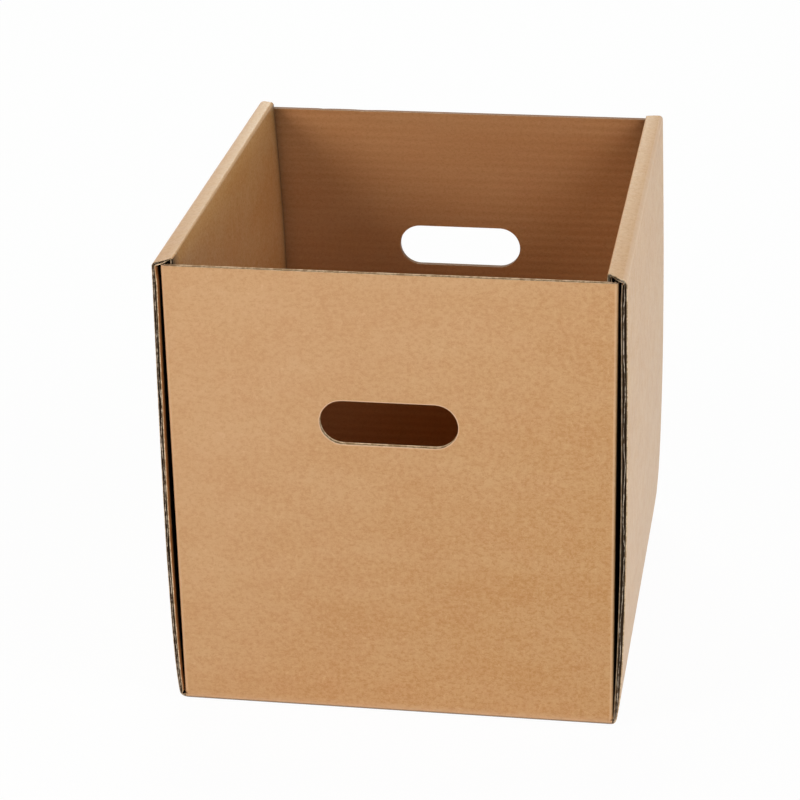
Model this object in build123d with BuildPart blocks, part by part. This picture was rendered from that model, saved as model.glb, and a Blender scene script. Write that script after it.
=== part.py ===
from build123d import *
import os

# Sheet of corrugated board
board_thickness = 4.0     # one sheet, liner to liner
ply_gap = 0.4             # air between two plies that lie against each other
fold_radius = 3.0         # outside rounding of the upright folds
floor_fold_radius = 4.0   # outside rounding of the folds round the floor
liner_thickness = 0.6     # each paper face of the sheet
flute_depth = 2.0         # how far a cut edge is open between its liners

# Floor, front wall and back wall
front_width = 308.0       # front and back walls, across their upright folds
box_depth = 349.0         # outside of the front wall to the outside of the back wall
wall_height = 333.0       # cut top edge of the front and back walls

# Hand holes in the front and back walls
hand_hole_length = 95.5
hand_hole_height = 32.5
hand_hole_drop = 109.0    # from the wall's top edge to the middle of the hole

# Ears folded in from the upright edges of the front and back walls
ear_length = 125.0        # measured from the outside of the wall
ear_drop = 1.5            # top of the ear below the wall's top edge
ear_corner = 14.0         # slanted corners at the free end
relief_diameter = 2.6     # punched hole at the foot of each upright fold

# Roll-over side walls
side_setback = 1.0        # cut ends of the outer ply behind the front wall's face
rim_rise = 6.0            # top of the band above the front wall's top edge
band_fall = 2.0           # the band slopes down to the outer fold by this much
shoulder_radius = 5.5     # soft outer fold of the band
rim_radius = 2.0          # inner fold of the band
outer_bow = 3.2           # outer ply bulges out at half height
inner_bow = 5.4           # inner ply bulges into the box at half height

# Lock tabs on the inner plies, and their slots in the floor
tab_length = 60.0
tab_spacing = 180.0       # between the middles of the two tabs of one side
tab_recess = 0.5          # tab end above the floor's underside
slot_clearance = 0.5      # round the tab, each side

# Places that follow from the sizes above
half_depth = box_depth / 2
half_width = front_width / 2
outer_ply_face = half_width + ply_gap + board_thickness
ear_inner_face = half_width - board_thickness
inner_ply_back = ear_inner_face - ply_gap
inner_ply_face = inner_ply_back - board_thickness
ply_foot = board_thickness + ply_gap
rim_height = wall_height + rim_rise
shoulder_height = rim_height - band_fall
bow_height = shoulder_height / 2
inner_ply_end = half_depth - board_thickness - ply_gap
outer_ply_end = half_depth - side_setback
hand_hole_center = wall_height - hand_hole_drop
relief_place = half_width - relief_diameter / 4

# Front wall with its two ears, folded to a channel
with BuildPart() as front_wall:
    with BuildSketch(Plane.XY.offset(ply_foot)):
        with Locations((0, -half_depth)):
            outline = Rectangle(front_width, ear_length, align=(Align.CENTER, Align.MIN))
        fillet(outline.vertices().group_by(Axis.Y)[0], fold_radius)
        with Locations((0, -half_depth + board_thickness)):
            Rectangle(2 * ear_inner_face, ear_length, align=(Align.CENTER, Align.MIN), mode=Mode.SUBTRACT)
    extrude(amount=wall_height - ply_foot)
    # The ears stop short of the wall's top edge
    with BuildSketch(Plane.XY.offset(wall_height - ear_drop)):
        with Locations((0, -half_depth + board_thickness)):
            Rectangle(front_width, ear_length, align=(Align.CENTER, Align.MIN))
    extrude(amount=ear_drop, mode=Mode.SUBTRACT)
    free_ends = front_wall.faces().sort_by(Axis.Y)[-2:]
    chamfer(free_ends.edges().filter_by(Axis.X), ear_corner)
    # The cut top edge, open between the liners
    top_edge = front_wall.faces().sort_by(Axis.Z)[-1]
    flutes = offset(top_edge, -liner_thickness, mode=Mode.PRIVATE)
    extrude(flutes, amount=-flute_depth, mode=Mode.SUBTRACT)

# Right side wall: one loop of board round the ears, opened at the foot of its inner ply
with BuildPart() as side_wall:
    with BuildSketch(Plane.XZ):
        with BuildLine():
            Polyline((inner_ply_face, ply_foot), (inner_ply_face, 0), (outer_ply_face, 0))
            ThreePointArc(
                (outer_ply_face, 0),
                (outer_ply_face + outer_bow, bow_height),
                (outer_ply_face, shoulder_height),
            )
            Line((outer_ply_face, shoulder_height), (inner_ply_face, rim_height))
            ThreePointArc(
                (inner_ply_face, rim_height),
                (inner_ply_face - inner_bow, bow_height),
                (inner_ply_face, ply_foot),
            )
        loop = make_face()
        offset(loop, -board_thickness, kind=Kind.INTERSECTION, mode=Mode.SUBTRACT)
        with Locations((inner_ply_face, board_thickness)):
            Rectangle(board_thickness, ply_gap, align=(Align.MIN, Align.MIN), mode=Mode.SUBTRACT)
    extrude(amount=outer_ply_end, both=True)
    # The ends taper across the band, so that the inner ply fits between the front and back walls
    with BuildSketch():
        with BuildLine():
            Polyline(
                (inner_ply_face - inner_bow, 0),
                (inner_ply_face - inner_bow, inner_ply_end),
                (inner_ply_back, inner_ply_end),
                (half_width, outer_ply_end),
                (outer_ply_face + outer_bow, outer_ply_end),
                (outer_ply_face + outer_bow, 0),
            )
            mirror(about=Plane.XZ)
        make_face()
    extrude(amount=rim_height, mode=Mode.INTERSECT)
    # Rounded folds: inner and outer edge of the band, and the fold to the floor
    for fold, radius in (
        ((inner_ply_face, 0, rim_height), rim_radius),
        ((outer_ply_face, 0, shoulder_height), shoulder_radius),
        ((outer_ply_face, 0, 0), floor_fold_radius),
    ):
        fillet(side_wall.edges().filter_by(Axis.Y).sort_by_distance(fold)[0], radius)
    # The cut ends of the plies and the band, open between the liners
    upright_ends = side_wall.faces().filter_by_position(Axis.Z, ply_foot, rim_height)
    for cut_end in upright_ends.filter_by(lambda face: abs(face.normal_at().Y) > 0.5):
        flutes = offset(cut_end, -liner_thickness, mode=Mode.PRIVATE)
        extrude(flutes, amount=-flute_depth, mode=Mode.SUBTRACT)

# The box: floor and walls of one folded sheet
with BuildPart() as folded_box:
    # Floor with the scored feet of the front and back walls
    with BuildSketch(Plane.YZ):
        feet = Rectangle(box_depth, ply_foot, align=(Align.CENTER, Align.MIN))
        fillet(feet.vertices().group_by(Axis.Y)[0], floor_fold_radius)
        with Locations((0, board_thickness)):
            Rectangle(
                box_depth - 2 * board_thickness,
                ply_gap,
                align=(Align.CENTER, Align.MIN),
                mode=Mode.SUBTRACT,
            )
    extrude(amount=half_width, both=True)
    add(front_wall.part)
    mirror(front_wall.part, about=Plane.XZ)
    add(side_wall.part)
    mirror(side_wall.part, about=Plane.YZ)
    # Punched through the front and back walls: hand hole, and relief holes at the foot of the upright folds
    for wall_plane in (half_depth, board_thickness - half_depth):
        with BuildSketch(Plane.XZ.offset(wall_plane)):
            with Locations((0, hand_hole_center)):
                SlotOverall(hand_hole_length, hand_hole_height)
            with Locations((relief_place, ply_foot), (-relief_place, ply_foot)):
                Circle(relief_diameter / 2)
        extrude(amount=-board_thickness, mode=Mode.SUBTRACT)
    # Lock slots through the floor, and the tabs of the inner plies that stand in them
    with BuildSketch():
        with GridLocations(inner_ply_face + inner_ply_back, tab_spacing, 2, 2):
            Rectangle(board_thickness + 2 * slot_clearance, tab_length + 2 * slot_clearance)
    extrude(amount=board_thickness, mode=Mode.SUBTRACT)
    with BuildSketch(Plane.XY.offset(tab_recess)):
        with GridLocations(inner_ply_face + inner_ply_back, tab_spacing, 2, 2):
            Rectangle(board_thickness, tab_length)
    extrude(amount=ply_foot - tab_recess)

folded_box.part.label = "folded_box"
os.makedirs("parts", exist_ok=True)
export_step(folded_box.part, "parts/folded_box.step")
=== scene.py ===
import math
from collections import namedtuple

import bmesh
import bpy
import numpy as np
from mathutils import Matrix, Vector, noise


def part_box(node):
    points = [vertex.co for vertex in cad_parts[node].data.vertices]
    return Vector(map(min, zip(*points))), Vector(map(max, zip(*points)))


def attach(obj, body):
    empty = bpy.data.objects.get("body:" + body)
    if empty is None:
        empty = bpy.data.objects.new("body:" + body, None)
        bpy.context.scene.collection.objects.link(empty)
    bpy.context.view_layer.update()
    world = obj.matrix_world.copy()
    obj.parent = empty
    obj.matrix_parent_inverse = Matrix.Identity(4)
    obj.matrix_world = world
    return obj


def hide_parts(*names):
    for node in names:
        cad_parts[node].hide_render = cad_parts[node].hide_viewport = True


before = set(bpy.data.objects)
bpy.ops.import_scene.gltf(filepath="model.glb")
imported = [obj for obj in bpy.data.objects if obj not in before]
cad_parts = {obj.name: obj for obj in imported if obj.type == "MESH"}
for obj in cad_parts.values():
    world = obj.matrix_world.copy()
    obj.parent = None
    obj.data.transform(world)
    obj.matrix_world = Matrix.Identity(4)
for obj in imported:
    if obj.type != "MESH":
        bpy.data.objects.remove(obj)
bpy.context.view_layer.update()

NODE = "folded_box"
MM = 0.001

# Sizes of the folded sheet in millimetres, as in the solid
HALF_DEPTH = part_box(NODE)[1].y / MM
HALF_WIDTH = 154.0
WALL_TOP = 333.0
BOARD = 4.0
PLY_GAP = 0.4
FOLD_RADIUS = 3.0
FLOOR_RADIUS = 4.0
RIM_RISE = 6.0
BAND_FALL = 2.0
INNER_BOW = 5.4
EAR_LENGTH = 125.0
EAR_DROP = 1.5
EAR_CORNER = 14.0
SIDE_SETBACK = 1.0
HOLE_LENGTH = 95.5
HOLE_HEIGHT = 32.5
HOLE_CENTER = 224.0
TAB_LENGTH = 60.0
TAB_SPACING = 180.0
TAB_RECESS = 0.5
SLOT_CLEARANCE = 0.5

# Places that follow from them
RIM_TOP = WALL_TOP + RIM_RISE
SHOULDER = RIM_TOP - BAND_FALL
EAR_INSIDE = HALF_WIDTH - BOARD
OUTER_FACE = HALF_WIDTH + PLY_GAP + BOARD
INNER_BACK = EAR_INSIDE - PLY_GAP
INNER_FACE = INNER_BACK - BOARD
PLY_FOOT = BOARD + PLY_GAP
FLOOR_EDGE = HALF_WIDTH - 0.8    # the floor ends here, and the side walls start
HOLE_REACH = (HOLE_LENGTH - HOLE_HEIGHT) / 2

# How a side wall stands, each value at its front end and at its back end
Stance = namedtuple("Stance", (
    "lean",            # top of the outer ply, outwards
    "bow",             # bulge of the outer ply
    "peak",            # share of the height where it bulges most
    "rim",             # height of the inner fold of the band
    "rim_radius",
    "shoulder",        # height of the outer fold of the band
    "shoulder_radius",
    "tuck",            # inner ply, outwards
    "foot",            # foot of the outer ply, inwards
    "thin",            # share by which the cut end of the plies is pressed thinner, or spread if below 0
    "flat",            # the same for the band, from below
    "press",           # the same for the band at its inner fold, from above
))
RIGHT_STANCE = Stance(
    lean=(1.1, -1.2),
    bow=(2.8, 2.8),
    peak=(0.43, 0.43),
    rim=(RIM_TOP, RIM_TOP - 2.0),
    rim_radius=(1.0, 1.2),
    shoulder=(SHOULDER - 1.6, SHOULDER - 1.0),
    shoulder_radius=(5.0, 3.0),
    tuck=(0.5, -1.1),
    foot=(2.9, 2.4),
    thin=(-0.1, -0.1),
    flat=(0.35, 0.2),
    press=(0.0, 0.0),
)
LEFT_STANCE = Stance(
    lean=(1.6, 0.8),
    bow=(2.9, 2.9),
    peak=(0.36, 0.36),
    rim=(RIM_TOP - 0.6, RIM_TOP - 0.2),
    rim_radius=(0.9, 2.0),
    shoulder=(SHOULDER - 2.6, SHOULDER + 0.8),
    shoulder_radius=(3.2, 5.0),
    tuck=(0.0, 1.0),
    foot=(1.3, 0.6),
    thin=(0.15, 0.15),
    flat=(0.32, 0.2),
    press=(0.45, 0.0),
)
INNER_PEAK = 0.56                # share of the height where the inner plies bulge most
PRESS_REACH = 6.0                # how far from a cut end it is pressed

# Materials of the sheet, in the order of the mesh's slots
OUTER_LINER, INNER_LINER, CUT_EDGE, FLUTE = range(4)

# Raw edges: widths and material of the two liners' ends, the painted shade on the outer and the inner one,
# and depth and material of the groove between them
Cut = namedtuple("Cut", "lip_out lip_in lips dark_out dark_in depth slot")
# The right wall's inner lips get painted shade, and so does the gap between its plies
OPEN_RIGHT = Cut(0.7, 0.6, CUT_EDGE, 0.0, 0.5, 3.0, FLUTE)
OPEN_LEFT = Cut(0.3, 0.8, CUT_EDGE, 0.0, 0.0, 3.0, FLUTE)
PRESSED = Cut(0.8, 1.3, CUT_EDGE, 0.0, 0.0, 0.9, CUT_EDGE)
# The back wall's top and hand-hole edges get painted shade on their lips
CLOSED = Cut(0.3, 0.3, INNER_LINER, 0.5, 0.5, 0.1, INNER_LINER)
# Painted shade fills a groove from this depth on
PAINTED_SHADE_DEPTH = 1.6          # a groove is dark from this depth on

# Share of its depth to which a cut is open where it crosses a fold
WALL_FOLD_OPEN, SIDE_FOLD_OPEN = 0.3, 0.5

# The board's own make-up
MEDIUM = 0.45             # width of the corrugated paper where a cut shows it
FLUTE_PITCH = 6.6
CREASE_RADIUS = 0.3       # rounding of the inner skin at a fold
CREASE_PINCH = 0.38       # share by which a fold thins the board
CREASE_WIDTH = 3.0        # how far beside the fold it does so
NOTCH = 1.3               # lift of the upright folds at their foot

# Runs of a path: the panel between two folds, and the parts of a side wall in their order from the floor
PANEL = 1
FLOOR_FOLD, OUTER_PLY, SHOULDER_FOLD, BAND, RIM_FOLD, INNER_PLY = 0.5, 1, 1.5, 2, 2.5, 3

# Painted sheen: how far the outer liner is painted paler, towards the colour of its folds. A side wall gets
# most at its foot, and less with each length above it
LEAST_PAINTED_SHEEN, MOST_PAINTED_SHEEN = 0.08, 0.45
FOOT_PAINTED_SHEEN, PAINTED_SHEEN_LENGTH, BAND_PAINTED_SHEEN = 2.2, 95.0, -0.2

# Wear and painted light of the two folds of the band
RIM_WEAR_AND_HIGHLIGHT, SHOULDER_WEAR_AND_LIGHT = 0.7, 0.95

# Shade in the inside corners, and light at the ends of the side walls' outer plies, outside and inside:
# strength and reach
WALL_CORNER = (0.45, 6.0)
SIDE_CORNERS = ((0.65, 7.0), (0.2, 40.0))
BRIGHT_END = (1.4, 6.0)
LIT_STRIP = (0.9, 7.0)

# How far from a cut end the painted shade between the plies starts and is full
GAP_SHADE_RAMP = (2.6, 5.6)

# An upright fold of the front and back walls: strength, place and width of its pale line, in from the fold,
# which is partly wear and partly painted highlight, and how far behind the wall's face the painted shade
# of the gap starts and is full
UprightFold = namedtuple("UprightFold", "strength inset width dark_from dark_to")
LEFT_FOLD = UprightFold(1.2, 1.6, 1.8, 1.2, 4.0)
RIGHT_FOLD = UprightFold(1.4, 1.9, 0.9, 0.3, 1.8)

# The pale line along the folds to the floor, partly wear and partly painted highlight: height and width
FLOOR_LINE = (3.4, 1.8)

# Lift of the lower corners of the floor and of the side walls: towards the floor, and at the outside
FLOOR_LIFT = (0.0, 0.4)
SIDE_LIFT = (0.9, 2.0)

# Mesh density: cells, steps round a fold, shares of a side wall's length near its ends, rows in from
# the floor's edge, rows along an ear, and steps along the corrugated paper of a cut
CELL = 4.0
ARC_STEPS = 6
NEAR_END = (0, 0.008, 0.018, 0.026, 0.04, 0.07)
NEAR_FLOOR_EDGE = (0.0, 0.3, 0.8, 1.6, 2.6)
EAR_ROWS = (5.5, 9.0, 20.0, 45.0, 70.0, 95.0, EAR_LENGTH - EAR_CORNER)
MEDIUM_STEP = 1.5
MERGE = 0.004             # points closer than this become one
SHARP_ANGLE = 40          # degrees between faces that meet at a sharp edge

# Faces round a hand hole: half sizes of the block that they fill, rings in it, how much closer these lie
# towards the hole, and the rows along its edge, where torn paper is pale
HOLE_BLOCK = (60, 28)
RINGS, CROWDING = 5, 0.7
TORN_ROWS = (0.8, 0.5)
TORN_PALE = 1.5

# The back wall's top edge stands a little higher than the front wall's, and has two shallow dents:
# place and width
BACK_RISE = 0.4
DENTS = ((-107.0, 3.0), (-74.0, 8.0))
DENT_DEPTH = 0.3


def unit(v):
    """The vector or vectors at length one."""
    return v / np.linalg.norm(v, axis=-1, keepdims=True)


def ramp(values, low, high):
    """Nought at low, one at high, and straight between them."""
    return np.clip((np.asarray(values) - low) / (high - low), 0, 1)


def wander(positions, seed, length):
    """Smooth seeded noise from -1 to 1 along a line of positions, one swing per length."""
    return np.array([noise.noise((p / length, seed * 7.31, seed * 3.17)) for p in positions])


def rounded_path(corners, radii, stops):
    """Points along a polyline with rounded corners: each run has the given stops along its main axis.

    A point's run is a whole number on a straight run, and ends in .5 on the corner after it."""
    corners = [np.array(c, float) for c in corners]
    start = corners[0]
    points, runs = [], []
    for k, run_stops in enumerate(stops):
        end = corners[k + 1]
        rounded = k + 1 < len(corners) - 1
        if rounded:
            before, after = unit(corners[k] - end), unit(corners[k + 2] - end)
            half = math.acos(np.clip(before @ after, -1, 1)) / 2
            cut = radii[k] / math.tan(half)
            center = end + unit(before + after) * radii[k] / math.sin(half)
            end, leave = end + before * cut, end + after * cut
        axis = int(np.argmax(np.abs(end - start)))
        share = np.clip((np.array(run_stops) - start[axis]) / (end[axis] - start[axis]), 0, 1)
        share = np.concatenate([[0.0], share, [1.0]])
        points += [start + s * (end - start) for s in share]
        runs += [k] * len(share)
        if rounded:
            a, b = end - center, leave - center
            swing = math.acos(np.clip(unit(a) @ unit(b), -1, 1))
            for step in range(1, ARC_STEPS):
                t = step / ARC_STEPS
                turned = math.sin((1 - t) * swing) * a + math.sin(t * swing) * b
                points.append(center + turned / math.sin(swing))
                runs.append(k + 0.5)
            start = leave
    return np.array(points), np.array(runs)


def painted_sheen(place):
    """How much painted sheen makes the outer liner paler: least at a place of -1, most at 1."""
    return LEAST_PAINTED_SHEEN + (MOST_PAINTED_SHEEN - LEAST_PAINTED_SHEEN) * ramp(place, -1, 1)


def fold_line(places, fold, width):
    """How much a fold's pale line shows at each place: one on the fold, none a width or more away."""
    return np.clip(1 - np.abs(np.abs(places) - fold) / width, 0, 1)


def pinched(outer, inner, runs):
    """The inner skin drawn up to the outer one along the folds, where the crease makes the board thinner."""
    length = np.concatenate([[0], np.cumsum(np.linalg.norm(np.diff(outer, axis=0), axis=1))])
    keep = np.ones(len(outer))
    for fold in np.unique(runs[runs % 1 > 0]):
        keep -= CREASE_PINCH * np.exp(-((length - length[runs == fold].mean()) / CREASE_WIDTH) ** 2)
    return outer + (inner - outer) * keep[:, None]


class Board:
    """Collects the skins, cut edges and flutes of the sheet as one mesh.

    Its marks are, at each point, the place across the flutes, how pale it is from use and from painted
    light, how much painted shade it has, and how dull the paper is."""

    def __init__(self):
        self.points, self.faces, self.slots = [], [], []
        self.marks = {"flute": [], "wear": [], "sunk": [], "dull": []}

    def add(self, points, **marks):
        shape = np.shape(points)[:-1]
        first = len(self.points)
        self.points += [tuple(p) for p in np.reshape(points, (-1, 3))]
        for key, values in self.marks.items():
            values += list(np.broadcast_to(marks.get(key, 0.0), shape).ravel())
        return np.arange(first, len(self.points)).reshape(shape)

    def quads(self, index, slot, flip=False, skip=None):
        for i in range(index.shape[0] - 1):
            for j in range(index.shape[1] - 1):
                if skip is not None and skip[i, j]:
                    continue
                face = [index[i, j], index[i + 1, j], index[i + 1, j + 1], index[i, j + 1]]
                self.faces.append(face[::-1] if flip else face)
                self.slots.append(slot)

    def grid(self, points, slot, flip=False, skip=None, **marks):
        self.quads(self.add(points, **marks), slot, flip, skip)

    def cut_edge(self, outer, inner, inward, cut, open_share, seed, flip, marks):
        """A raw edge between the two skins: two liners, a groove, and the medium that wanders in it.

        The marks are pairs, for the outer and the inner skin, so that the edge meets each skin
        as it is there. Between them the cut paper has no sheen."""
        thick = np.linalg.norm(inner - outer, axis=1, keepdims=True)
        across = (inner - outer) / thick
        lip_out = outer + across * np.minimum(cut.lip_out, 0.4 * thick)
        lip_in = inner - across * np.minimum(cut.lip_in, 0.4 * thick)
        depth = np.broadcast_to(cut.depth * open_share, len(outer))[:, None]
        sink = inward * depth
        strips = np.stack([outer, lip_out, lip_out + sink, lip_in + sink, lip_in, inner], axis=1)
        marked = {}
        for key, pair in marks.items():
            near, far = (np.broadcast_to(np.ravel(values), len(outer)) for values in pair)
            marked[key] = np.stack([near, near, near, far, far, far], axis=1)
        # Painted shade down in the groove and on the lips
        groove = ramp(depth, 0.0, PAINTED_SHADE_DEPTH) * np.array([[0, 1, 1, 0]])
        lips = np.array([[cut.dark_out, cut.dark_out, cut.dark_in, cut.dark_in]])
        marked["sunk"][:, 1:5] = np.maximum(groove, lips)
        marked["dull"][:, 1:5] = 1.0
        index = self.add(strips, **marked)
        for k, slot in enumerate((cut.lips, cut.slot, cut.slot, cut.slot, cut.lips)):
            self.quads(index[:, k:k + 2], slot, flip)
        if cut.slot == FLUTE:
            self.medium(lip_out, lip_in, sink, seed, flip)

    def medium(self, lip_out, lip_in, sink, seed, flip):
        """The corrugated sheet where the cut shows it: a strand that swings from liner to liner."""
        length = np.concatenate([[0], np.cumsum(np.linalg.norm(np.diff(lip_out, axis=0), axis=1))])
        fine = np.arange(0, length[-1], MEDIUM_STEP)
        a, b, sink = (np.stack([np.interp(fine, length, line[:, c]) for c in range(3)], axis=1)
                      for line in (lip_out, lip_in, sink))
        swing = 0.5 + 0.6 * wander(fine, seed, 30.0) + 0.15 * wander(fine, seed + 5, 6.0)
        middle = a + (b - a) * np.clip(swing, 0.1, 0.9)[:, None]
        width = MEDIUM * (0.75 + 0.5 * wander(fine, seed + 7, 9.0))[:, None]
        side = unit(b - a) * np.minimum(width, np.linalg.norm(b - a, axis=1, keepdims=True) * 0.5) / 2
        low = sink * np.clip(0.14 + 0.3 * wander(fine, seed + 9, 7.0), 0.02, 0.5)[:, None]
        near, far = middle - side, middle + side
        strips = np.stack([near + sink, near + low, far + low, far + sink], axis=1)
        # The strand's edges down in the groove get painted shade
        self.grid(strips, FLUTE, flip, sunk=np.array([1, 0, 0, 1]))

    def build(self, name):
        mesh = bpy.data.meshes.new(name)
        points = [Vector(p) * MM for p in self.points]
        mesh.from_pydata(points, [], [list(map(int, face)) for face in self.faces])
        for key, values in self.marks.items():
            attribute = mesh.attributes.new(key, "FLOAT", "POINT")
            attribute.data.foreach_set("value", np.array(values, np.float32))
        mesh.polygons.foreach_set("material_index", np.array(self.slots, np.int32))
        work = bmesh.new()
        work.from_mesh(mesh)
        bmesh.ops.remove_doubles(work, verts=work.verts, dist=MERGE * MM)
        bmesh.ops.dissolve_degenerate(work, edges=work.edges, dist=MERGE * MM)
        work.to_mesh(mesh)
        work.free()
        mesh.polygons.foreach_set("use_smooth", np.ones(len(mesh.polygons), bool))
        mesh.set_sharp_from_angle(angle=math.radians(SHARP_ANGLE))
        piece = bpy.data.objects.new(name, mesh)
        bpy.context.collection.objects.link(piece)
        return piece


# Columns of the floor and of the front and back walls, with the sides of the slots, and rows of the walls
SLOT_SIDES = (INNER_FACE - SLOT_CLEARANCE, INNER_BACK + SLOT_CLEARANCE)
HALF_ROW = (*np.arange(0, INNER_FACE, CELL), *SLOT_SIDES)
FLAT_X = np.array(sorted({side * x for side in (-1, 1) for x in HALF_ROW}))
WALL_Z = np.arange(2 * CELL, WALL_TOP - 1, CELL)


def out_of_hole(points, aside):
    """Straight away from the core line of the hand hole, at each point round it: lengths along x and z."""
    off = points - np.array([aside, 0, HOLE_CENTER])
    off[:, 0] -= np.clip(off[:, 0], -HOLE_REACH, HOLE_REACH)
    off[:, 1] = 0
    return off


def punched_skin(board, points, slot, flip, block, aside, torn_pale, marks):
    """A skin of the wall with the hand hole in it: a ring of faces fits the grid round the hole."""
    (i0, i1), (j0, j1) = block
    skip = np.zeros((points.shape[0] - 1, points.shape[1] - 1), bool)
    skip[i0:i1, j0:j1] = True
    board.grid(points, slot, flip, skip, **marks)
    loop = [(i, j0) for i in range(i0, i1)] + [(i1, j) for j in range(j0, j1)]
    loop += [(i, j1) for i in range(i1, i0, -1)] + [(i0, j) for j in range(j1, j0, -1)]
    rim = np.array([points[i, j] for i, j in loop])
    rim_wear = np.array([marks["wear"][i, j] for i, j in loop + loop[:1]])
    off = out_of_hole(rim, aside)
    hole = rim - off + unit(off) * HOLE_HEIGHT / 2
    steps = np.linspace(0, 1, RINGS + 1)[:-1] ** CROWDING
    rings = rim[None] + steps[:, None, None] * (hole - rim)[None]
    torn = hole + unit(rim - hole) * np.array(TORN_ROWS)[:, None, None]
    rings = np.concatenate([rings, torn, hole[None]])
    rings = np.concatenate([rings, rings[:, :1]], axis=1)
    at_edge = np.arange(len(rings)) > RINGS
    pale = np.maximum(torn_pale * at_edge[:, None], rim_wear[None])
    board.grid(rings, slot, not flip, flute=rings[..., 2], wear=pale)
    return rings[-1]


def end_wall_paths(sign):
    """A front or back wall with its ears, seen from above: the paths of its two skins and their runs,
    how far each point lies behind the wall's face, and the heights of the rows over it."""
    back = HALF_DEPTH - EAR_LENGTH
    ear_y = HALF_DEPTH - np.array(EAR_ROWS)
    stops = [ear_y[::-1], FLAT_X, ear_y]
    skins = []
    for inset, radius in ((0.0, FOLD_RADIUS), (BOARD, CREASE_RADIUS)):
        x, y = HALF_WIDTH - inset, HALF_DEPTH - inset
        path, runs = rounded_path([(-x, back), (-x, y), (x, y), (x, back)], [radius] * 2, stops)
        skins.append(path)
    outer, inner = skins[0], pinched(skins[0], skins[1], runs)
    behind = np.where(runs == PANEL, 0.0, HALF_DEPTH - outer[:, 1])
    slant = np.where(runs == PANEL, 0.0, np.clip(EAR_CORNER - (outer[:, 1] - back), 0, EAR_CORNER))
    top = WALL_TOP - EAR_DROP * ramp(behind, FOLD_RADIUS, FOLD_RADIUS + 2) - slant
    if sign > 0:
        dents = sum(np.exp(-((outer[:, 0] - x) / width) ** 2) for x, width in DENTS) * (runs == PANEL)
        top = top + BACK_RISE - DENT_DEPTH * dents
    notch = np.where(runs % 1 > 0, NOTCH * fold_line(behind, FOLD_RADIUS / 2, FOLD_RADIUS / 2), 0)
    foot = PLY_FOOT + slant + notch
    share = (np.concatenate([[PLY_FOOT], WALL_Z, [WALL_TOP]]) - PLY_FOOT) / (WALL_TOP - PLY_FOOT)
    height = foot[:, None] + share[None] * (top - foot)[:, None]
    return outer, inner, runs, behind, height


def hole_block(outer, runs):
    """First and last column, and first and last row, of the block of faces round the hand hole."""
    reach_x, reach_z = HOLE_BLOCK
    off_panel = 1e3 * (runs != PANEL)
    at_x = [int(np.argmin(np.abs(outer[:, 0] - x) + off_panel)) for x in (-reach_x, reach_x)]
    at_z = [1 + int(np.argmin(np.abs(WALL_Z - HOLE_CENTER - z))) for z in (-reach_z, reach_z)]
    return at_x, at_z


def end_wall_marks(outer, runs, behind, height):
    """How pale from use and from painted light, how much painted shade and how dull a front or back wall is:
    marks of its outer and of its inner skin.
    """
    x = outer[:, 0]
    lines, gap_shades = [], []
    # Pale fold lines, partly wear and partly painted highlight, and painted shade in the gap behind them
    for fold in (LEFT_FOLD, RIGHT_FOLD):
        lines.append(fold.strength * fold_line(x, HALF_WIDTH - fold.inset, fold.width))
        gap_shades.append(ramp(behind, fold.dark_from, fold.dark_to))
    # Painted shade: the ears lie in the dark between the plies of the side walls, and the inside corners are
    # in shade
    upright_fold, dark = (np.where(x < 0, *sides)[:, None] for sides in (lines, gap_shades))
    shade, reach = WALL_CORNER
    corner = shade * np.exp(-np.abs(INNER_FACE - np.abs(x)) / reach)[:, None]
    floor_fold = fold_line(height, *FLOOR_LINE) * (runs == PANEL)[:, None]
    worn_and_lit = np.maximum(upright_fold, floor_fold)
    # Painted sheen: paler towards the top and the left
    worn_and_lit = np.maximum(worn_and_lit, painted_sheen(2 * height / WALL_TOP - x[:, None] / HALF_WIDTH - 1))
    plain = np.zeros_like(height)
    return [
        {"wear": worn_and_lit, "sunk": dark + plain, "dull": np.maximum(upright_fold, dark) + plain},
        {"wear": plain, "sunk": corner + plain, "dull": corner + plain},
    ]


def end_wall(board, sign, cut, aside, seed):
    """The front wall (sign -1) or the back wall (sign 1) with its two ears.

    Its hand hole lies a little aside from the middle."""
    outer, inner, runs, behind, height = end_wall_paths(sign)
    marks = end_wall_marks(outer, runs, behind, height)
    block = hole_block(outer, runs)
    torn_pale = TORN_PALE if cut.lips == CUT_EDGE else 0.0
    flip = sign > 0
    grids, loops = [], []
    for skin, path, slot, turn in zip(marks, (outer, inner), (OUTER_LINER, INNER_LINER), (flip, not flip)):
        points = np.empty((*height.shape, 3))
        points[..., 0] = path[:, 0, None]
        points[..., 1] = sign * path[:, 1, None]
        points[..., 2] = height
        skin["flute"] = points[..., 2]
        loops.append(punched_skin(board, points, slot, turn, block, aside, torn_pale, skin))
        grids.append(points)
    # Cut edges along the top and round the hand hole
    down = np.array([[0.0, 0.0, -1.0]])
    tops = [points[:, -1] for points in grids]
    at_top = {key: [skin[key][:, -1] for skin in marks] for key in marks[0]}
    open_share = np.where(runs % 1 > 0, WALL_FOLD_OPEN, 1.0)
    board.cut_edge(*tops, down, cut, open_share, seed, flip, at_top)
    level = loops[0][:, 2]
    at_hole = {"flute": (level,) * 2, "wear": (torn_pale,) * 2, "sunk": (0.0,) * 2, "dull": (0.0,) * 2}
    board.cut_edge(*loops, unit(out_of_hole(loops[0], aside)), cut, 1.0, seed + 1, flip, at_hole)
    # Feet and free ends of the ears
    for ear in (runs < PANEL, runs > PANEL):
        feet = [points[ear, 0] for points in grids]
        board.grid(np.stack(feet, axis=1), CUT_EDGE, flip=not flip)
    for k in (0, -1):
        board.grid(np.stack([points[k] for points in grids]), CUT_EDGE, flip=flip != (k == 0))


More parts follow.
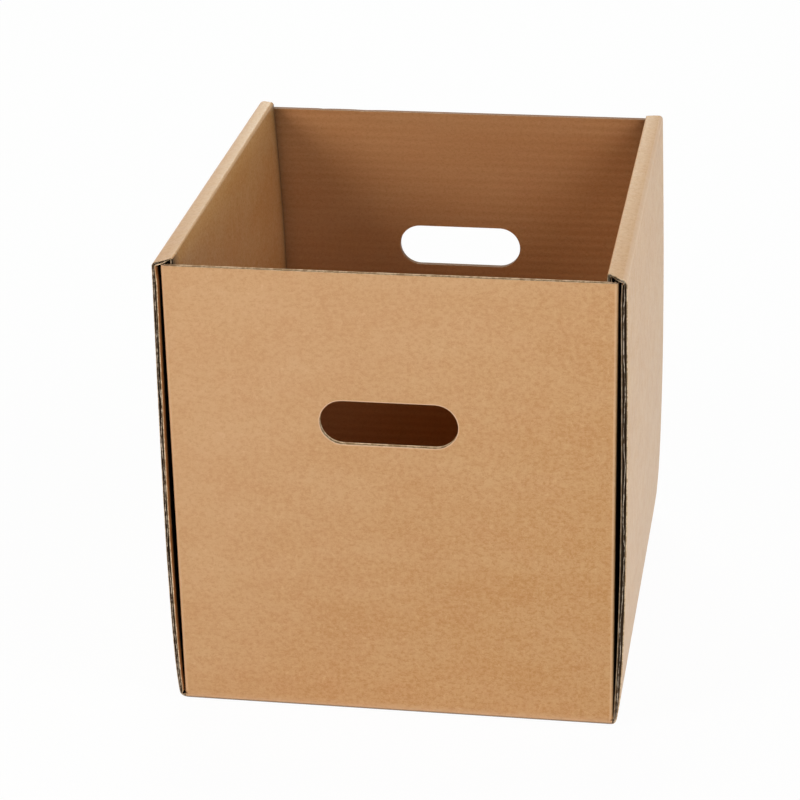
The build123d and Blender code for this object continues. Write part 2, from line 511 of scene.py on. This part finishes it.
def floor_panel(board):
    """The floor with the folds to the front and back walls, and the lock slots."""
    slot_y = [s * TAB_SPACING / 2 + e * (TAB_LENGTH / 2 + SLOT_CLEARANCE) for s in (-1, 1) for e in (-1, 1)]
    run_y = np.array(sorted([*np.arange(-160, 161, 2 * CELL), -168, 168, *slot_y]))
    skins = []
    for inset, radius in ((0.0, FLOOR_RADIUS), (BOARD, CREASE_RADIUS)):
        y = HALF_DEPTH - inset
        corners = [(-y, PLY_FOOT), (-y, inset), (y, inset), (y, PLY_FOOT)]
        path, runs = rounded_path(corners, [radius] * 2, [[], run_y, []])
        skins.append(path)
    near_edge = FLOOR_EDGE - np.array(NEAR_FLOOR_EDGE)
    xs = np.concatenate([-near_edge, FLAT_X, near_edge[::-1]])
    in_slot_x = np.abs((np.abs(xs[1:]) + np.abs(xs[:-1])) / 2 - (INNER_FACE + INNER_BACK) / 2) < BOARD / 2
    middle = (skins[0][1:, 0] + skins[0][:-1, 0]) / 2
    in_slot_y = np.abs(np.abs(middle) - TAB_SPACING / 2) < TAB_LENGTH / 2
    in_slot_y &= (runs[1:] == PANEL) & (runs[:-1] == PANEL)
    skip = in_slot_x[:, None] & in_slot_y[None]
    grids = []
    for path, slot, turn in ((skins[0], OUTER_LINER, True), (skins[1], INNER_LINER, False)):
        points = np.empty((len(xs), len(path), 3))
        points[..., 0] = xs[:, None]
        points[..., 1] = path[None, :, 0]
        points[..., 2] = path[None, :, 1]
        lift_corners(points, *FLOOR_LIFT)
        # Pale fold lines outside, partly wear and partly painted highlight, and painted shadow below
        at_end = ramp(np.abs(path[:, 0]), HALF_DEPTH - 8, HALF_DEPTH - 4) * (slot == OUTER_LINER)
        wear = fold_line(path[:, 1], *FLOOR_LINE) * at_end
        painted_underside_shadow = 0.9 * ramp(path[:, 1], 2.5, 1.2) * at_end
        board.grid(points, slot, turn, skip, flute=points[..., 1], wear=wear[None], sunk=painted_underside_shadow[None])
        grids.append(points)
    for k in (0, -1):
        board.grid(np.stack([grids[0][k], grids[1][k]]), CUT_EDGE, flip=k != 0)
    slots_and_tabs(board)


def slots_and_tabs(board):
    """Walls of the lock slots in the floor, and the tabs of the inner plies that stand in them."""
    for sx in (-1, 1):
        for sy in (-1, 1):
            center = (sx * (INNER_FACE + INNER_BACK) / 2, sy * TAB_SPACING / 2)
            room = (BOARD / 2 + SLOT_CLEARANCE, TAB_LENGTH / 2 + SLOT_CLEARANCE)
            board.grid(upright(center, room, 0.0, BOARD), CUT_EDGE, flip=True)
            tab = upright(center, (BOARD / 2, TAB_LENGTH / 2), TAB_RECESS, PLY_FOOT)
            board.grid(tab, OUTER_LINER)
            board.grid(np.stack([tab[:2, 0], tab[[3, 2], 0]]), CUT_EDGE)


def lift_corners(points, least, most):
    """Lifts the sheet's lower corners: least towards the floor, and most at the outside."""
    x, y, z = (np.abs(points[..., axis]) for axis in range(3))
    outwards = ramp(x, HALF_WIDTH - 3, HALF_WIDTH + 3)
    endwards = ramp(y, HALF_DEPTH - 16, HALF_DEPTH - 1)
    points[..., 2] += (least + (most - least) * outwards) * endwards * np.exp(-z / 6)


def upright(center, half, low, high):
    """The four upright sides of a block, as a closed ring of points from low to high."""
    ring = [(-1, -1), (1, -1), (1, 1), (-1, 1), (-1, -1)]
    corners = [(center[0] + a * half[0], center[1] + b * half[1]) for a, b in ring]
    return np.array([[(x, y, z) for z in (low, high)] for x, y in corners])


def bow(height, top, amount, peak):
    """How far a wall bulges at a height: none at the foot and the top, most at the peak's share."""
    share = np.clip(height / top, 0, 1)
    skew = share ** (math.log(0.5) / math.log(peak))
    return amount * np.sin(math.pi * skew)


def side_profile(stance, share):
    """The two skins of a side wall as (x, z) paths, at a share of the way from its front to its back end."""
    at = Stance(*(front + (back - front) * share for front, back in stance))
    outer_face, inner_face = OUTER_FACE, INNER_FACE + at.tuck
    fall = (at.rim - at.shoulder) / (outer_face - inner_face)
    drop = BOARD * math.hypot(1, fall)
    up = np.array([5, *np.arange(2 * CELL, SHOULDER - 10, 2 * CELL)])
    stops = [[], up, [(outer_face + inner_face) / 2], up[::-1]]
    outer, runs = rounded_path(
        [(FLOOR_EDGE, 0), (outer_face, 0), (outer_face, at.shoulder), (inner_face, at.rim),
         (inner_face, PLY_FOOT)],
        [FLOOR_RADIUS, at.shoulder_radius, at.rim_radius], stops)
    inner, _ = rounded_path(
        [(FLOOR_EDGE, BOARD), (outer_face - BOARD, BOARD),
         (outer_face - BOARD, at.shoulder + fall * BOARD - drop),
         (inner_face + BOARD, at.rim - fall * BOARD - drop), (inner_face + BOARD, PLY_FOOT)],
        [CREASE_RADIUS] * 3, stops)
    inner = pinched(outer, inner, runs)
    # The outer ply leans and bows, its foot is drawn in, the band follows its lean, and the inner ply bows
    for path in (outer, inner):
        rise = np.clip(path[:, 1] / at.shoulder, 0, 1)
        out = at.lean * rise ** 1.5 + bow(path[:, 1], at.shoulder, at.bow, at.peak)
        out -= at.foot * np.exp(-path[:, 1] / 18) * ramp(path[:, 0], FLOOR_EDGE, OUTER_FACE)
        band = at.lean * ramp(path[:, 0], INNER_FACE, INNER_FACE + 12)
        path[:, 0] += np.where(runs < BAND, out, np.where(runs < INNER_PLY, band, 0))
        path[:, 0] -= np.where(runs > RIM_FOLD, bow(path[:, 1], at.rim, INNER_BOW, INNER_PEAK), 0)
    return outer, inner, runs


def side_wall_marks(outer, runs, from_end, cut):
    """How pale from use and from painted light, how much painted shade and how dull a side wall is: marks of
    its outer and of its inner skin.
    """
    along = np.zeros_like(from_end)[None]
    fold_wear = np.select([runs == RIM_FOLD, runs == SHOULDER_FOLD], [RIM_WEAR_AND_HIGHLIGHT, SHOULDER_WEAR_AND_LIGHT], 0.0)
    # Painted sheen: the outer ply paler towards its foot
    place = np.where(runs < SHOULDER_FOLD, FOOT_PAINTED_SHEEN - outer[:, 0, 1] / PAINTED_SHEEN_LENGTH, BAND_PAINTED_SHEEN)
    sheen_paint = np.where(runs > RIM_FOLD, 0.0, painted_sheen(place))
    worn_and_lit = np.maximum(fold_wear, sheen_paint)[:, None] + along
    dull = np.select([runs == RIM_FOLD, runs > RIM_FOLD], [1.0, 0.9], 0.0)[:, None] + along
    light, reach = BRIGHT_END
    # Painted highlight along the cut ends of the outer ply
    bright_end = light * (runs == OUTER_PLY)[:, None] * ramp(from_end, reach, 0.0)[None]
    # Painted shade in the inside corners
    corner = sum(shade * np.exp(-from_end / length) for shade, length in SIDE_CORNERS)
    corner = (runs > RIM_FOLD)[:, None] * corner[None]
    # Painted shade between the plies, and a painted paler strip where light gets in
    light, reach = LIT_STRIP
    strip = light * ((runs > FLOOR_FOLD) & (runs < BAND))[:, None] * ramp(from_end, reach, 0.0)[None]
    gap = np.maximum(ramp(from_end, *GAP_SHADE_RAMP), cut.dark_in)
    gap = np.maximum(gap[None], (runs < OUTER_PLY)[:, None])
    return [
        {"wear": np.maximum(worn_and_lit, bright_end), "sunk": corner, "dull": np.maximum(dull, bright_end)},
        {"wear": strip, "sunk": gap, "dull": np.ones_like(gap)},
    ]


def pressed_ends(outer, inner, runs, shares, from_end, stance):
    """The two skins with the cut ends of the plies and of the band pressed thinner than the rest."""
    thin, flat, press = (
        np.where(shares < 0.5, *pair)[None] * np.exp(-from_end / PRESS_REACH)[None]
        for pair in (stance.thin, stance.flat, stance.press))
    on_band = ((runs >= SHOULDER_FOLD) & (runs <= RIM_FOLD))[:, None]
    thick = np.linalg.norm(outer - inner, axis=2)
    keep = np.where(on_band, np.minimum(1, BOARD * (1 - flat) / thick), 1 - thin)
    inner = outer + (inner - outer) * keep[..., None]
    at_rim = on_band * ramp(outer[..., 0], OUTER_FACE - 3, INNER_FACE + 2)
    return outer + (inner - outer) * (at_rim * press)[..., None], inner


def side_wall(board, sign, stance, cut, seed):
    """The right (sign 1) or left (sign -1) wall: outer ply, band and inner ply of one strip."""
    shares = np.concatenate([NEAR_END, np.linspace(0.1, 0.9, 29), 1 - np.array(NEAR_END[::-1])])
    profiles = [side_profile(stance, share) for share in shares]
    runs = profiles[0][2]
    outer, inner = (np.stack([p[k] for p in profiles], axis=1) for k in (0, 1))
    from_end = np.minimum(shares, 1 - shares) * 2 * HALF_DEPTH
    outer, inner = pressed_ends(outer, inner, runs, shares, from_end, stance)
    plan = np.clip((HALF_WIDTH - outer[:, 0, 0]) / (HALF_WIDTH - INNER_BACK), 0, 1)
    setback = np.where(runs < OUTER_PLY, SIDE_SETBACK, SIDE_SETBACK + (PLY_FOOT - SIDE_SETBACK) * plan)
    marks = side_wall_marks(outer, runs, from_end, cut)
    line = np.arange(len(setback)) * 2.0
    grids = []
    for k, (path, slot) in enumerate(((outer, OUTER_LINER), (inner, INNER_LINER))):
        ragged = []
        for end in (0, 1):
            coarse, fine = wander(line, seed + 2 * k + end, 14.0), wander(line, seed + 3 * k + end, 4.0)
            ragged.append(np.abs(0.2 * coarse + 0.1 * fine))
        front, back = -HALF_DEPTH + setback + ragged[0], HALF_DEPTH - setback - ragged[1]
        points = np.empty((*path.shape[:2], 3))
        points[..., 0] = sign * path[..., 0]
        points[..., 1] = front[:, None] + shares[None] * (back - front)[:, None]
        points[..., 2] = path[..., 1]
        lift_corners(points, *SIDE_LIFT)
        marks[k]["flute"] = points[..., 1]
        board.grid(points, slot, (sign > 0) == (k == 0), **marks[k])
        grids.append(points)
    # Cut ends, which close towards the floor
    for end, flip in ((0, sign < 0), (-1, sign > 0)):
        into = np.array([[0.0, 1.0 if end == 0 else -1.0, 0.0]])
        ends = [points[:, end] for points in grids]
        open_share = np.where(runs % 1 > 0, SIDE_FOLD_OPEN, 1.0)
        open_share *= 0.3 + 0.7 * ramp(ends[0][:, 2], 10, 120)
        at_end = {key: [skin[key][:, end] for skin in marks] for key in marks[0]}
        board.cut_edge(*ends, into, cut, open_share, seed + 5 + end, flip, at_end)
    # Edges at the floor and at the foot of the inner ply
    for k in (0, -1):
        board.grid(np.stack([grids[0][k], grids[1][k]]), CUT_EDGE, flip=(sign < 0) == (k == 0))


# Materials

def srgb(*levels):
    """A colour as seen on screen, 0 to 255, as the linear colour that the shader takes."""
    linear = [((c / 255 + 0.055) / 1.055) ** 2.4 if c > 10 else c / 255 / 12.92 for c in levels]
    return (*linear, 1.0)


class Nodes:
    """Short names for building a material's node tree."""

    def __init__(self, name):
        self.material = bpy.data.materials.new(name)
        self.material.use_nodes = True
        self.tree = self.material.node_tree
        self.shader = self.tree.nodes["Principled BSDF"]
        self.coords = self.tree.nodes.new("ShaderNodeTexCoord").outputs["Object"]

    def link(self, source, target):
        self.tree.links.new(source, target)

    def attribute(self, name):
        node = self.tree.nodes.new("ShaderNodeAttribute")
        node.attribute_name = name
        return node.outputs["Fac"]

    def math(self, operation, a, b=0.0, clamp=False):
        node = self.tree.nodes.new("ShaderNodeMath")
        node.operation = operation
        node.use_clamp = clamp
        for socket, value in zip(node.inputs, (a, b)):
            if isinstance(value, (int, float)):
                socket.default_value = value
            else:
                self.link(value, socket)
        return node.outputs[0]

    def noise(self, scale, detail=2.0, stretch=(1, 1, 1), turn=(0, 0, 0), rough=0.5):
        """Noise in the object's own space: scale is in swings per metre."""
        mapping = self.tree.nodes.new("ShaderNodeMapping")
        mapping.inputs["Scale"].default_value = stretch
        mapping.inputs["Rotation"].default_value = turn
        self.link(self.coords, mapping.inputs["Vector"])
        node = self.tree.nodes.new("ShaderNodeTexNoise")
        node.inputs["Scale"].default_value = scale
        node.inputs["Detail"].default_value = detail
        node.inputs["Roughness"].default_value = rough
        self.link(mapping.outputs[0], node.inputs["Vector"])
        return node.outputs["Fac"]

    def between(self, value, low, high, out_low=0.0, out_high=1.0):
        node = self.tree.nodes.new("ShaderNodeMapRange")
        node.clamp = True
        for socket, number in zip(list(node.inputs)[1:5], (low, high, out_low, out_high)):
            socket.default_value = number
        self.link(value, node.inputs[0])
        return node.outputs[0]

    def mix(self, factor, a, b):
        node = self.tree.nodes.new("ShaderNodeMix")
        node.data_type = "RGBA"
        for socket, value in ((node.inputs[0], factor), (node.inputs[6], a), (node.inputs[7], b)):
            if isinstance(value, (int, float, tuple)):
                socket.default_value = value
            else:
                self.link(value, socket)
        return node.outputs[2]

    def bump(self, height, distance, strength=1.0, after=None):
        node = self.tree.nodes.new("ShaderNodeBump")
        node.inputs["Strength"].default_value = strength
        node.inputs["Distance"].default_value = distance
        self.link(height, node.inputs["Height"])
        if after is not None:
            self.link(after, node.inputs["Normal"])
        return node.outputs["Normal"]


# Streaks of the paper: swings per metre, detail and how they are drawn out, then how strong they are
UPRIGHT = (420, 2.0, (1.0, 1.0, 0.15)), 0.2
LEVEL = (120, 3.0, (0.05, 0.05, 1.0)), 0.4
# How its clouds and its grain are drawn out
CLOUDS = (0.35, 0.35, 1.0)
GRAIN = (0.7, 0.7, 1.0)
# Colour of the painted shade in gaps, corners, grooves and under the folds
PAINTED_SHADE_COLOR = srgb(20, 12, 8)
ROUGHNESS = (0.34, 0.44)
DULL_SHEEN = 0.05
# The crease colour is that of pale folds, and also of painted light and painted sheen
Paper = namedtuple("Paper", "tone pale dark rosy fibre crease grain")


def fibres(n, scale, turn):
    """Short curved hairs: thin contour lines of one noise, broken up by another."""
    swirl = n.noise(scale, 1.0, turn=turn)
    off = n.math("ABSOLUTE", n.math("SUBTRACT", swirl, 0.5))
    hair = n.between(off, 0.0, 0.022, 1.0, 0.0)
    broken = n.between(n.noise(scale * 1.3, 0.0, turn=turn[::-1]), 0.56, 0.66)
    return n.math("MULTIPLY", hair, broken)


def liner(name, paper, streaks, flute_depth, flute_shade, sheen):
    """A kraft liner: cloudy tone, streaks, fibres, flute lines of painted shade, paler folds and walls
    partly from use and partly painted highlight and sheen, and painted shade in gaps and corners.
    """
    n = Nodes(name)
    color = n.mix(n.between(n.noise(34, 3.0, CLOUDS), 0.35, 0.65, 0.0, 0.5), paper.tone, paper.pale)
    color = n.mix(n.between(n.noise(60, 3.0), 0.42, 0.65, 0.0, 0.2), color, paper.rosy)
    pattern, strength = streaks
    color = n.mix(n.between(n.noise(*pattern), 0.4, 0.7, 0.0, strength), color, paper.pale)
    grain = n.noise(520, 4.0, GRAIN, rough=0.85)
    color = n.mix(n.between(grain, 0.5, 0.62, 0.0, paper.grain), color, paper.dark)
    color = n.mix(n.between(grain, 0.5, 0.38, 0.0, paper.grain), color, paper.pale)
    for paint, scale, turn, strength in (
        (paper.fibre, 170, (0.3, 0.5, 0.2), 0.25),
        (paper.fibre, 260, (2.2, 1.5, 0.9), 0.2),
        (paper.dark, 210, (1.2, 0.4, 1.9), 0.3),
    ):
        color = n.mix(n.math("MULTIPLY", fibres(n, scale, turn), strength), color, paint)
    phase = n.math("MULTIPLY", n.attribute("flute"), 2 * math.pi / FLUTE_PITCH)
    patchy = n.between(n.noise(14, 2.0), 0.35, 0.65, 0.3, 1.0)
    wash = n.math("MULTIPLY", n.math("SINE", phase), patchy)
    # Painted shade of the washboard ridges along the flutes
    color = n.mix(n.between(wash, -1.0, 1.0, 0.0, flute_shade), color, paper.dark)
    # Paler towards the crease colour where the paper is worn and where light is painted
    wear, sunk = n.attribute("wear"), n.attribute("sunk")
    color = n.mix(n.math("MULTIPLY", wear, 0.7, clamp=True), color, paper.crease)
    # Painted shade in gaps, corners and grooves
    color = n.mix(sunk, color, PAINTED_SHADE_COLOR)
    n.link(color, n.shader.inputs["Base Color"])
    n.link(n.between(n.noise(120, 4.0), 0.3, 0.7, *ROUGHNESS), n.shader.inputs["Roughness"])
    shine = n.between(n.attribute("dull"), 0.0, 1.0, sheen, DULL_SHEEN)
    n.link(shine, n.shader.inputs["Specular IOR Level"])
    ridges = n.bump(wash, flute_depth * MM)
    n.link(n.bump(n.noise(1000, 3.0), 0.1 * MM, 0.3, ridges), n.shader.inputs["Normal"])
    return n.material


def edge_paper(name, tone, dark, painted_deep_shade):
    """Cut paper: patchy, rough, and darker down in the board, where shade is painted."""
    n = Nodes(name)
    patches = n.between(n.noise(320, 4.0), 0.42, 0.6)
    color = n.mix(patches, dark, tone)
    color = n.mix(n.attribute("sunk"), color, painted_deep_shade)
    n.link(color, n.shader.inputs["Base Color"])
    n.shader.inputs["Roughness"].default_value = 0.9
    n.shader.inputs["Specular IOR Level"].default_value = 0.2
    n.link(n.bump(n.noise(1800, 2.0), 0.2 * MM, 0.7), n.shader.inputs["Normal"])
    return n.material


OUTSIDE = Paper(
    tone=srgb(197, 145, 88),
    pale=srgb(211, 168, 118),
    dark=srgb(180, 119, 46),
    rosy=srgb(199, 142, 94),
    fibre=srgb(233, 201, 155),
    crease=srgb(226, 186, 150),
    grain=0.55,
)
INSIDE = Paper(
    tone=srgb(187, 135, 88),
    pale=srgb(197, 149, 104),
    dark=srgb(158, 105, 62),
    rosy=srgb(188, 131, 90),
    fibre=srgb(206, 163, 118),
    # The inside's crease colour is also the painted light of the lit strip between the plies
    crease=srgb(208, 122, 52),
    grain=0.35,
)

# The box

sheet = Board()
end_wall(sheet, -1, PRESSED, aside=-1.0, seed=11)
end_wall(sheet, 1, CLOSED, aside=-0.6, seed=21)
floor_panel(sheet)
side_wall(sheet, 1, RIGHT_STANCE, OPEN_RIGHT, seed=31)
side_wall(sheet, -1, LEFT_STANCE, OPEN_LEFT, seed=41)
box = sheet.build("corrugated_box")
for material in (
    liner("outer_liner", OUTSIDE, UPRIGHT, flute_depth=0.006, flute_shade=0.0, sheen=0.4),
    liner("inner_liner", INSIDE, LEVEL, flute_depth=0.025, flute_shade=0.28, sheen=0.3),
    edge_paper("cut_edge", tone=srgb(228, 202, 168), dark=srgb(176, 146, 112), painted_deep_shade=srgb(70, 50, 34)),
    edge_paper("flute_medium", tone=srgb(222, 205, 184), dark=srgb(112, 92, 72), painted_deep_shade=srgb(76, 59, 44)),
):
    box.data.materials.append(material)
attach(box, "root")
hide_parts(NODE)


# Studio: a white floor, a white surround, and soft lamps

BOX_MIDDLE = (0, 0, 0.17)


def stage_floor():
    """A wide floor that the camera sees nearly white, with a little of the box's shadow."""
    size = 12.0
    corners = [(-size, -size, 0), (size, -size, 0), (size, size, 0), (-size, size, 0)]
    mesh = bpy.data.meshes.new("studio_floor")
    mesh.from_pydata(corners, [], [(0, 1, 2, 3)])
    floor = bpy.data.objects.new("studio_floor", mesh)
    bpy.context.collection.objects.link(floor)
    n = Nodes("studio_floor")
    n.shader.inputs["Base Color"].default_value = (0.9, 0.9, 0.9, 1)
    n.shader.inputs["Roughness"].default_value = 1.0
    n.shader.inputs["Specular IOR Level"].default_value = 0.0
    path = n.tree.nodes.new("ShaderNodeLightPath")
    glow = n.tree.nodes.new("ShaderNodeEmission")
    glow.inputs["Strength"].default_value = 1.0
    blend = n.tree.nodes.new("ShaderNodeMixShader")
    seen = n.math("MAXIMUM", path.outputs["Is Camera Ray"], path.outputs["Is Glossy Ray"])
    n.link(n.math("MULTIPLY", seen, 0.96), blend.inputs[0])
    n.link(n.shader.outputs[0], blend.inputs[1])
    n.link(glow.outputs[0], blend.inputs[2])
    n.link(blend.outputs[0], n.tree.nodes["Material Output"].inputs["Surface"])
    mesh.materials.append(n.material)


def surround(strength):
    """A surround that is seen and mirrored white, and lights the box by its strength."""
    world = bpy.data.worlds.new("surround")
    bpy.context.scene.world = world
    world.use_nodes = True
    tree = world.node_tree
    light = tree.nodes["Background"]
    light.inputs["Strength"].default_value = strength
    seen = tree.nodes.new("ShaderNodeBackground")
    path = tree.nodes.new("ShaderNodeLightPath")
    blend = tree.nodes.new("ShaderNodeMixShader")
    for node in (light, seen):
        node.inputs["Color"].default_value = (1, 1, 1, 1)
    either = tree.nodes.new("ShaderNodeMath")
    either.operation = "MAXIMUM"
    tree.links.new(path.outputs["Is Camera Ray"], either.inputs[0])
    tree.links.new(path.outputs["Is Glossy Ray"], either.inputs[1])
    tree.links.new(either.outputs[0], blend.inputs[0])
    tree.links.new(light.outputs[0], blend.inputs[1])
    tree.links.new(seen.outputs[0], blend.inputs[2])
    tree.links.new(blend.outputs[0], tree.nodes["World Output"].inputs["Surface"])


def lamp(name, place, size, watts, color):
    """A round soft lamp that faces the middle of the box."""
    data = bpy.data.lights.new(name, "AREA")
    data.shape = "DISK"
    data.size = size
    data.energy = watts
    data.color = color
    light = bpy.data.objects.new(name, data)
    bpy.context.collection.objects.link(light)
    light.location = place
    light.rotation_euler = (Vector(BOX_MIDDLE) - Vector(place)).to_track_quat("-Z", "Y").to_euler()


def photo_camera():
    """The photograph's view, solved from the box's own edges."""
    azimuth, elevation, roll = (math.radians(a) for a in (9.662, 23.802, -1.233))
    distance = 2046.8
    target = Vector((-22.4, 0.0, 164.9))
    focal_pixels, image = 2748.2, 800
    back = Vector((math.sin(azimuth) * math.cos(elevation),
                   -math.cos(azimuth) * math.cos(elevation), math.sin(elevation)))
    right = (-back).cross(Vector((0, 0, 1))).normalized()
    up = right.cross(-back)
    side = math.cos(roll) * right + math.sin(roll) * up
    top = -math.sin(roll) * right + math.cos(roll) * up
    data = bpy.data.cameras.new("photo_camera")
    data.sensor_width = 36.0
    data.lens = focal_pixels / image * data.sensor_width
    data.clip_end = 100.0
    camera = bpy.data.objects.new("photo_camera", data)
    bpy.context.collection.objects.link(camera)
    place = Matrix((side, top, back)).transposed().to_4x4()
    place.translation = (target + back * distance) * MM
    camera.matrix_world = place
    bpy.context.scene.camera = camera


stage_floor()
surround(strength=0.01)
lamp("front_right", (1.3, -2.3, 0.8), size=1.6, watts=21, color=(0.96, 1.0, 0.98))
lamp("left_front", (-1.7, -1.4, 1.5), size=1.4, watts=32.5, color=(1.0, 0.9, 0.82))
lamp("right_low", (2.4, -0.3, 0.4), size=0.7, watts=7.4, color=(0.58, 1.0, 0.86))
lamp("right_high", (1.7, -0.6, 1.8), size=1.4, watts=20, color=(1.0, 0.94, 1.0))
lamp("back_high", (-0.4, 1.9, 1.8), size=1.4, watts=33.5, color=(0.87, 1.0, 0.9))
photo_camera()
bpy.context.scene.view_settings.view_transform = "Standard"
